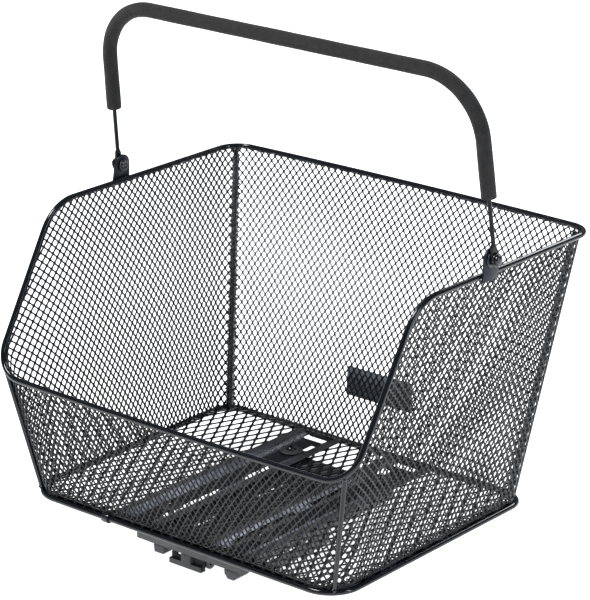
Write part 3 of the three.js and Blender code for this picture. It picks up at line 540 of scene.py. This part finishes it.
def expanded(cells, place, sx, sy, crest, edge, tilt, shrink=0.0):
    """A sheet of openings. place(i, j, lift) is the point at lattice position (i, j) in half-pitches,
    lifted off the midplane. Strands are six-sided: crest is half their height on the centreline, and
    edge half their height beside the openings. shrink is how much smaller the lowest openings are."""
    verts, faces, known = [], [], {}

    def centre(i4, j4, side):
        key = (i4, j4, side)
        if key not in known:
            known[key] = len(verts)
            verts.append(place(i4 / 4, j4 / 4, side * crest))
        return known[key]

    ring = opening_ring(sx, sy)
    count = len(ring)
    used = {}
    for i, j in cells:
        base = len(verts)
        scale = 1.0 - shrink * max(0.0, 1.0 - j / 30.0)
        for side in (1, -1):
            for a, b, _ in ring:
                verts.append(place(i + a * scale, j + b * scale, side * edge + tilt * b))
        for n in range(8):
            a, b = OUTER[n], OUTER[(n + 1) % 8]
            p, q = (i * 4 + a[0], j * 4 + a[1]), (i * 4 + b[0], j * 4 + b[1])
            used.setdefault(frozenset((p, q)), []).append((p, q))
        for n in range(count):
            m = (n + 1) % count
            ka, kb = ring[n][2], ring[m][2]
            oa, ob = OUTER[ka], OUTER[kb]
            pa, pb = (i * 4 + oa[0], j * 4 + oa[1]), (i * 4 + ob[0], j * 4 + ob[1])
            for side, lift in ((0, 1), (1, -1)):
                ia, ib = base + side * count + n, base + side * count + m
                ca, cb = centre(*pa, lift), centre(*pb, lift)
                face = (ca, ia, ib) if ka == kb else (ca, ia, ib, cb)
                faces.append(face if side == 0 else tuple(reversed(face)))
            faces.append((base + n, base + count + n, base + count + m, base + m))
    for entries in used.values():
        if len(entries) == 1:
            p, q = entries[0]
            faces.append((centre(*p, 1), centre(*q, 1), centre(*q, -1), centre(*p, -1)))
    return verts, faces


# Rows per millimetre at the foot, and how fast they close up towards the rim, where the mesh is stretched.
ROW_A, ROW_B = 0.0985, 0.0000336
CORNER_DIP = 10.0  # how far the rows sag at the corners
SHEET_BOTTOM = 0.9
LOW_SHRINK = 0.06
# Width and height of the openings, of a whole pitch, and half the strands' height.
OPENINGS = {
    "front": (0.70, 0.72, 0.66),
    "right": (0.69, 0.71, 0.62),
    "back": (0.72, 0.735, 0.56),
    "left": (0.67, 0.70, 0.64),
}


def row_height(n):
    return (-ROW_A + math.sqrt(max(ROW_A * ROW_A + 4 * ROW_B * n, 0.0))) / (2 * ROW_B)


def wall_sheet(wall, open_x, open_y, crest):
    """The expanded metal of one wall, cut off at the rim and the floor."""
    half = wall.half_columns

    def locate(i, j):
        c = min(max(i / half, 0.0), 1.0)
        w = abs(2 * c - 1)
        z = row_height(max(j, -6.0) / 2 + 1.0) - CORNER_DIP * w ** 3
        return c, z

    def place(i, j, lift):
        c, z = locate(i, j)
        top = wall.rule(c)[1].z - 0.4
        z = min(max(z, SHEET_BOTTOM), top)
        return wall.point(c, z, WALL_INSET) + wall.normal(c, z) * lift

    cells = []
    for i in range(0, half + 1):
        for j in range(-2, 64):
            if (i + j) % 2 == 0:
                continue
            c, z = locate(i, j)
            low, high = locate(i, j + 0.9)[1], locate(i, j - 0.9)[1]
            if low > SHEET_BOTTOM + 0.5 and high < wall.rule(c)[1].z - 1.5:
                cells.append((i, j))
    return expanded(cells, place, open_x, open_y, crest, 0.62 * crest, 0.06, LOW_SHRINK)


for name, wall in WALLS.items():
    sheet = wall_sheet(wall, *OPENINGS[name])
    piece(f"expanded_{name}", *sheet, MESH, [f"mesh_wall_{name}"], slot="black_mesh", flat_angle=70.0)

# ---------- floor mesh ----------
FLOOR_Z = 3.0
FLOOR_ORIGIN = (-149.7, 94.2)
FLOOR_PITCH = (5.85, 11.6)
FLOOR_SKEW = 0.75  # sideways slip of each half row
TRAY_X, TRAY_HALF_WIDTH, TRAY_FRONT, TRAY_BACK = 54.0, 20.5, -135.0, 133.0
SCREW_X, SCREW_Y = 53.4, 84.0


def floor_limit(x, y, inset=0.6):
    """Pulls a point that is outside the floor's rounded outline back on to it."""
    hx, hy, r = BASE_X - inset, BASE_Y - inset, BASE_RADIUS["br" if y > 0 else "fr"] - inset
    x, y = min(max(x, -hx), hx), min(max(y, -hy), hy)
    cx, cy = math.copysign(hx - r, x), math.copysign(hy - r, y)
    dx, dy = x - cx, y - cy
    if dx * cx > 0 and dy * cy > 0 and math.hypot(dx, dy) > r:
        s = r / math.hypot(dx, dy)
        return cx + dx * s, cy + dy * s
    return x, y


def floor_sheet():
    """Floor mesh, left open where the trays lie."""
    def spot(i, j):
        x = FLOOR_ORIGIN[0] + FLOOR_PITCH[0] * i - FLOOR_SKEW * j
        return x, FLOOR_ORIGIN[1] + FLOOR_PITCH[1] * j

    def place(i, j, lift):
        x, y = floor_limit(*spot(i, j))
        return Vector((x, y, FLOOR_Z + lift))

    cells = []
    for i in range(-12, 70):
        for j in range(-24, 8):
            if (i + j) % 2 == 0:
                continue
            x, y = spot(i, j)
            lx, ly = floor_limit(x, y, 1.5)
            outside = math.hypot(lx - x, ly - y) > 3.0
            in_tray = abs(abs(x) - TRAY_X) < TRAY_HALF_WIDTH and TRAY_FRONT < y < TRAY_BACK
            if not outside and not in_tray:
                cells.append((i, j))
    return expanded(cells, place, 0.70, 0.735, 0.72, 0.46, 0.2)


piece("expanded_floor", *floor_sheet(), MESH, ["mesh_floor"], slot="black_mesh", flat_angle=70.0)


def fold_sheet():
    """The foot of the walls' mesh, folded in over the edge of the floor as one more row of openings."""
    parts = []
    for wall in WALLS.values():
        half = wall.half_columns

        def place(i, j, lift, wall=wall, half=half):
            foot, _, inward = wall.rule(min(max(i / half, 0.0), 1.0))
            ragged = 0.5 * math.sin(i * 1.9) if j > 0 else 0.0
            return foot + inward * (WALL_INSET + 5.4 + 4.3 * j + ragged) + Vector((0, 0, 4.5 + lift))

        cells = [(i, 0) for i in range(1, half, 2)]
        parts.append(expanded(cells, place, 0.66, 0.68, 0.6, 0.4, 0.0))
    return merge(*parts)


piece("expanded_fold", *fold_sheet(), MESH, slot="black_mesh", flat_angle=70.0)


# ---------- hems ----------
def strip(rows, closed=True):
    """Faces over a grid of points; each row is one cross-section, itself closed."""
    verts = [v for row in rows for v in row]
    n, m = len(rows), len(rows[0])
    faces = []
    for i in range(n if closed else n - 1):
        j = (i + 1) % n
        for k in range(m):
            l = (k + 1) % m
            faces.append((i * m + k, i * m + l, j * m + l, j * m + k))
    if not closed:
        faces.append(tuple(reversed(range(m))))
        faces.append(tuple(range((n - 1) * m, n * m)))
    return verts, faces


HEM_STATIONS = 187  # per wall


def around():
    """Stations right round the walls: each wall with a position across it."""
    return [
        (WALLS[key], i / HEM_STATIONS)
        for key in ("front", "right", "back", "left")
        for i in range(HEM_STATIONS)
    ]


def rim_hem():
    """Folded mesh edge pinched against the rim wire, on the inner side."""
    rows = []
    for n, (wall, c) in enumerate(around()):
        foot, head, inward = wall.rule(c)
        ripple = 0.35 * math.sin(n * 1.9) + 0.25 * math.sin(n * 0.83 + 1.0)
        bead = 0.35 * math.sin(n * 2.6)
        drop = 1.5 if head.z > FRONT_Z + 30 else 1.0
        down = (foot - head).normalized()
        top = head + inward * (WALL_INSET - 0.3) + down * 0.2
        low = head + inward * (WALL_INSET - 0.1) + down * (drop + ripple)
        rows.append([
            top - inward * 0.3,
            top + inward * (0.7 + bead),
            low + down * -0.5 + inward * (0.9 - bead),
            low + inward * (0.5 + bead),
            low - inward * 0.5,
        ])
    return strip(rows)


def floor_hem():
    """Foot of the walls, folded in over the edge of the floor mesh and pressed flat in lumps."""
    rows = []
    flat = Vector((0, 0, 1))
    for n, (wall, c) in enumerate(around()):
        foot, head, inward = wall.rule(c)
        ripple = 0.5 * math.sin(n * 1.7) + 0.4 * math.sin(n * 0.61 + 2.0)
        bead = 0.28 * math.sin(n * 2.4 + 0.5)
        up = (head - foot).normalized()
        base = foot + inward * (WALL_INSET - 0.9)
        rows.append([
            base + flat * 0.8,
            base + up * (4.9 + 0.6 * ripple) + inward * 0.3,
            base + up * (4.9 + 0.6 * ripple) + inward * 1.2,
            base + flat * (4.6 + bead) + inward * 1.9,
            base + flat * (4.7 - bead) + inward * (2.6 + 0.5 * ripple),
            base + flat * 3.4 + inward * (2.8 + 0.5 * ripple),
            base + flat * 0.8 + inward * 2.0,
        ])
    return strip(rows)


piece("hem_rim", *rim_hem(), SEAM_PAINTED_GLINTS, slot="black_mesh", flat_angle=20.0)
piece("hem_floor", *floor_hem(), SEAM_PAINTED_GLINTS, slot="black_mesh", flat_angle=20.0)


SEAM_STATIONS = 150


def corner_seam(key, drift, width):
    """Two wall edges overlapped and crimped round a back rod in a ragged, crumpled ribbon. drift is how
    far its foot stands aside, and width half its width there."""
    foot, head = sample(ring_arc[key], 0.5), sample(rim_arc[key], 0.5)
    inward = Vector((math.copysign(0.7071, -foot.x), math.copysign(0.7071, -foot.y), 0))
    side = inward.cross(Vector((0, 0, 1)))
    rows = []
    for n in range(SEAM_STATIONS + 1):
        t = 0.022 + 0.955 * n / SEAM_STATIONS
        spot = foot.lerp(head, t) + side * (drift * (1 - t))
        half_width = width - 1.2 * t
        left = half_width + 1.2 * math.sin(n * 2.2) + 0.7 * math.sin(n * 0.9 + 1.0)
        right = half_width + 1.2 * math.sin(n * 2.5 + 2.0) + 0.7 * math.sin(n * 0.7)
        bead = 0.6 * math.sin(n * 1.7)
        dent = 0.5 * math.sin(n * 2.9 + 1.0)
        outer = [(-left, 5.4), (-2.9 - 0.6 * bead, 7.6 + dent), (-1.2, 9.9 + bead), (1.3, 9.8 - bead),
                 (2.9 + 0.6 * dent, 7.5 - dent), (right, 5.4)]
        inner = [(right - 0.9, 4.7), (2.5, 6.3), (0.0, 9.0), (-2.5, 6.3), (0.9 - left, 4.7)]
        rows.append([spot + side * a + inward * b for a, b in outer + inner])
    return strip(rows, closed=False)


piece("seam_back_left", *corner_seam("bl", -2.0, 4.4), SEAM_PAINTED_GLINTS, slot="black_mesh", flat_angle=20.0)
piece("seam_back_right", *corner_seam("br", 0.0, 3.6), SEAM_PAINTED_GLINTS, slot="black_mesh", flat_angle=20.0)


# ---------- corner rods ----------
def corner_rod(name, key, inset):
    """Upright rod with a weld at each end; the back rods stand inside the mesh."""
    foot, head = sample(ring_arc[key], 0.5), sample(rim_arc[key], 0.5)
    inward = Vector((math.copysign(0.7071, -foot.x), math.copysign(0.7071, -foot.y), 0)) * inset
    along = (head - foot).normalized()
    start, end = foot + along * 1.5 + inward, head - along * 2.2 + inward
    parts = [tube([start, end], ROD_R, 18)]
    parts.append(weld(foot + along * 3.4 + inward * 0.6, (3.4, 3.4, 1.7), 1.0))
    parts.append(weld(head - along * 3.6 + inward * 0.6, (2.9, 2.9, 1.8), 2.0))
    piece(f"rod_{name}", *merge(*parts), BLACK, [f"corner_rod_{name}"], slot="black_wire")


BACK_ROD_INSET = 7.0
corner_rod("front_right", "fr", 0.0)
corner_rod("front_left", "fl", 0.0)
corner_rod("back_right", "br", BACK_ROD_INSET)
corner_rod("back_left", "bl", BACK_ROD_INSET)

# ---------- trays, adapter, clips and light bracket ----------
def tray(name, node):
    """Pressed tray: dark floor, slanted walls coloured far brighter as painted light, and a mottled flange."""
    obj = from_cad(name, node, TRAY, 0.35)
    obj.data.materials.append(TRAY_WALL_PAINTED_LIGHT)
    obj.data.materials.append(FLANGE)
    for face in obj.data.polygons:
        # Slanted faces take the bright wall colour, which is painted light; top faces take the flange colour.
        if abs(face.normal.x) > 0.25 and abs(face.normal.z) > 0.2:
            face.material_index = 1
        elif face.center.z > (ORIGIN.z + 4.6) * 0.001:
            face.material_index = 2


tray("tray_left", "floor_tray_left")
tray("tray_right", "floor_tray_right")
moulded = {}
for name, node, material, bevel in (
    ("adapter_deck", "adapter_plate", PLASTIC, 0.6),
    ("adapter_front", "adapter_fascia", PLASTIC, 0.6),
    ("foot_left", "adapter_foot_left", PLASTIC, 0.5),
    ("foot_right", "adapter_foot_right", PLASTIC, 0.5),
    ("t_hook", "adapter_t_hook", PLASTIC, 0.5),
    ("rear_hook", "adapter_rear_hook", PLASTIC, 0.6),
    ("skirt_left", "adapter_skirt_left", SKIRT_PAINTED_SHADE, 0.5),
    ("skirt_right", "adapter_skirt_right", SKIRT_PAINTED_SHADE, 0.5),
):
    moulded[name] = from_cad(name, node, material, bevel)
hook = moulded["t_hook"]
hook.data.materials.append(RECESS_PAINTED_SHADE)
# Painted shade: these faces of the moulded hook take a near-black colour instead of the adapter plastic.
for face in hook.data.polygons:  # the hollow back of the hook, in shadow behind the crossbar
    if face.center.z > (ORIGIN.z - 25.3) * 0.001 and not -0.0081 < face.center.x < 0.0031:
        face.material_index = 1
from_cad("claw", "adapter_claw", STEEL, 0.4)
from_cad("clip", "ring_clip", STEEL, 0.2, angle=40)
from_cad("light_plate", "light_bracket", LAMP_PLATE, 0.4)
from_cad("bracket_left", "handle_bracket_left", BRACKET, 0.35)
from_cad("bracket_right", "handle_bracket_right", BRACKET, 0.35)

# ---------- screws, washers and nuts ----------
WASHER_PROFILE = [
    (0.0, 2.3), (10.6, 2.3), (11.0, 2.5), (11.0, 2.8), (10.4, 3.1), (8.0, 3.9), (5.6, 4.4), (5.2, 4.0),
    (0.0, 4.0),
]


def socket_head(base, r, height, socket_r, depth):
    """Profile of a button head with a round-bottomed drive recess."""
    return [
        (0.0, base), (r, base), (r, base + 0.25 * height), (0.93 * r, base + 0.62 * height),
        (0.75 * r, base + 0.9 * height), (0.6 * r, base + height), (socket_r, base + height),
        (socket_r * 0.96, base + height - depth), (0.0, base + height - depth - 0.3),
    ]


SIDES = (("left", -1), ("right", 1))
for end, sy in (("back", 1), ("front", -1)):
    for side, sx in SIDES:
        spot = Vector((sx * SCREW_X, sy * SCREW_Y, 0))
        label = f"{side}_{end}"
        washer = lathe(WASHER_PROFILE, spot, (0, 0, 1), 40)
        piece(f"washer_{label}", *washer, DOMED, [f"tray_washer_{label}"], slot="black_steel")
        head = lathe(socket_head(3.7, 4.6, 2.7, 2.2, 1.9), spot, (0, 0, 1), 32)
        shank = lathe([(0.0, -4.6), (2.5, -4.6), (2.5, 3.7), (0.0, 3.7)], spot, (0, 0, 1), 20)
        piece(f"screw_{label}", *merge(head, shank), STEEL, [f"tray_screw_{label}"], slot="black_steel")

# Turned pivot pieces: radius and distance from the middle of the basket.
PIN_PROFILE = [
    (0.0, 207.6), (1.4, 207.6), (2.05, 208.2), (2.05, 219.3), (4.6, 219.3), (4.6, 220.3), (4.2, 221.4),
    (3.2, 222.2), (1.8, 222.55), (0.0, 222.6),
]
DISC_PROFILE = [(0.0, 217.8), (6.0, 217.8), (6.2, 218.0), (6.2, 218.9), (6.0, 219.1), (0.0, 219.1)]
NUT_PROFILE = [
    (0.0, 208.9), (2.1, 208.9), (2.3, 207.9), (3.3, 207.7), (3.8, 208.2), (3.9, 209.2), (5.3, 209.2),
    (5.9, 209.6), (5.9, 210.4), (0.0, 210.6),
]
SPACER_PROFILE = [
    (0.0, 213.6), (7.0, 213.6), (7.3, 213.8), (7.0, 214.1), (6.4, 214.2), (6.8, 214.4), (6.6, 214.7),
    (0.0, 214.7),
]
PIVOT_PIECES = (
    ("pin", "pivot_screw", PIN_PROFILE, 28),
    ("disc", "pivot_washer", DISC_PROFILE, 32),
    ("nut", "pivot_nut", NUT_PROFILE, 32),
    ("spacer", "pivot_spacer", SPACER_PROFILE, 32),
)
for side, sx in SIDES:
    hub = Vector((0, PIVOT.y, PIVOT.z))
    for name, node, profile, sides in PIVOT_PIECES:
        turned = lathe(profile, hub, (sx, 0, 0), sides)
        piece(f"{name}_{side}", *turned, STEEL, [f"{node}_{side}"], slot="black_steel")

# ---------- handle ----------
UP = Vector((0, -math.sin(LEAN), math.cos(LEAN)))
pin = {s: Vector((sx * PIVOT.x, PIVOT.y, PIVOT.z)) for s, sx in SIDES}
top = {s: Vector((sx * BAIL_TOP_X, PIVOT.y, PIVOT.z)) + UP * BAIL_LENGTH for s, sx in SIDES}
bend_left = arc(pin["left"], top["left"], top["right"], BAIL_R, 24)
bend_right = arc(top["left"], top["right"], pin["right"], BAIL_R, 24)


def on_leg(side, distance):
    return pin[side] + (top[side] - pin[side]).normalized() * distance


def line(a, b, n):
    return [a.lerp(b, i / n) for i in range(1, n)]


WIRE_START, GRIP_START, GRIP_R = 13.0, 57.0, 6.75
bail_path = (
    [on_leg("left", WIRE_START)]
    + bend_left
    + line(bend_left[-1], bend_right[0], 12)
    + bend_right
    + [on_leg("right", WIRE_START)]
)


EYE_R = 4.9
EYE_INNER, EYE_OUTER = 215.0, 217.4
NECK = [(3.9, 4.5), (3.1, 9.0), (2.6, 12.5), (1.0, 15.5)]  # half-width and distance from the pivot


def eye(sx):
    """Flattened end of the bail wire, with its round eye drawn as one plate."""
    across = Vector((0, UP.z, -UP.y))
    outline = []
    for i in range(17):
        angle = math.pi + math.pi * i / 16
        outline.append(across * (EYE_R * math.cos(angle)) + UP * (EYE_R * math.sin(angle)))
    outline += [across * half + UP * h for half, h in NECK]
    outline += [across * -half + UP * h for half, h in reversed(NECK)]
    inner, outer = EYE_INNER * sx, EYE_OUTER * sx
    n = len(outline)
    hub = Vector((0, PIVOT.y, PIVOT.z))
    slope = (BAIL_TOP_X - PIVOT.x) / BAIL_LENGTH * sx
    verts = []
    for x in (inner, outer):
        for p in outline:
            verts.append(hub + p + Vector((x + slope * max(p.dot(UP), 0.0), 0, 0)))
    faces = [tuple(range(n)), tuple(reversed(range(n, 2 * n)))]
    faces += [(i, (i + 1) % n, n + (i + 1) % n, n + i) for i in range(n)]
    return verts, faces


bail = merge(tube(bail_path, 1.9, 16), eye(-1), eye(1))
piece("bail_wire", *bail, BAIL, ["handle_bail"], body="handle", slot="black_wire")


def circle(centre, m, b, r, sides):
    angles = [2 * math.pi * k / sides for k in range(sides)]
    return [centre + (m * math.cos(angle) + b * math.sin(angle)) * r for angle in angles]


def grip():
    """Foam tube slid over the bail wire: cut square at both ends, slightly puckered inside the bends."""
    first, last = on_leg("left", GRIP_START), on_leg("right", GRIP_START)
    path = (
        [first]
        + line(first, bend_left[0], 8)
        + bend_left
        + line(bend_left[-1], bend_right[0], 40)
        + bend_right
        + line(bend_right[-1], last, 8)
        + [last]
    )
    axes = frames(path, False)
    sides = 32
    rows = []
    for n, (p, (_, m, b)) in enumerate(zip(path, axes)):
        swell = 0.06 * math.sin(n * 0.9) + 0.05 * math.sin(n * 0.37 + 1.0)
        rows.append(circle(p, m, b, GRIP_R + swell, sides))
    ends = []
    for at, sign in ((0, -1), (-1, 1)):
        p, (t, m, b) = path[at], axes[at]
        steps = ((6.5, 0.35), (6.1, 0.5), (2.6, 0.45), (2.25, 0.0), (2.25, -6.0))
        ends.append([circle(p + t * (h * sign), m, b, r, sides) for r, h in steps])
    grid = list(reversed(ends[0])) + rows + ends[1]
    return strip(grid, closed=False)


foam = piece("foam_grip", *grip(), FOAM, ["handle_grip"], body="handle", slot="foam", flat_angle=60.0)


# ---------- floor, lights and camera ----------
def studio():
    bpy.ops.mesh.primitive_plane_add(size=16.0, location=(0, 0, -0.0005))
    ground = bpy.context.object
    ground.name = "studio_floor"
    mat, nt, shader = new_material("studio_floor")
    shader.inputs["Base Color"].default_value = (0.85, 0.85, 0.86, 1)
    shader.inputs["Roughness"].default_value = 0.9
    shader.inputs["Emission Color"].default_value = (1, 1, 1, 1)
    shader.inputs["Emission Strength"].default_value = 0.95
    ground.data.materials.append(mat)

    world = bpy.data.worlds.new("studio")
    bpy.context.scene.world = world
    world.use_nodes = True
    background = world.node_tree.nodes["Background"]
    background.inputs["Color"].default_value = (0.80, 0.89, 1.0, 1)
    background.inputs["Strength"].default_value = 0.19

    def lamp(name, size, power, spot, aim, colour=(1, 1, 1)):
        data = bpy.data.lights.new(name, "AREA")
        data.shape = "RECTANGLE"
        data.size, data.size_y = size
        data.energy = power
        data.color = colour
        obj = bpy.data.objects.new(name, data)
        obj.location = spot
        obj.rotation_euler = (Vector(aim) - Vector(spot)).to_track_quat("-Z", "Y").to_euler()
        bpy.context.scene.collection.objects.link(obj)

    lamp("key", (1.0, 0.6), 70, (-0.8, -0.8, 2.6), (0, 0, 0.2))
    lamp("side", (0.35, 1.8), 20, (2.3, 0.2, 1.1), (0, 0, 0.2), (0.84, 0.92, 1.0))
    lamp("back", (1.6, 0.4), 18, (0.0, 2.2, 1.8), (0, 0, 0.2), (0.92, 0.96, 1.0))


def camera():
    data = bpy.data.cameras.new("camera")
    data.sensor_fit = "HORIZONTAL"
    data.sensor_width = 36.0
    data.lens = 180.42
    data.shift_x = 0.00356
    data.shift_y = 0.01146
    data.clip_end = 50.0
    obj = bpy.data.objects.new("camera", data)
    right = Vector((0.7679361, 0.64052646, 0.0))
    up = Vector((-0.21650473, 0.25957054, 0.94114231))
    back = right.cross(up)
    obj.matrix_world = Matrix.Translation(mm((1595.883, -1890.799, 1070.164))) @ Matrix(
        (right, up, back)).transposed().to_4x4()
    bpy.context.scene.collection.objects.link(obj)
    bpy.context.scene.camera = obj


studio()
camera()
bpy.context.scene.view_settings.view_transform = "Standard"
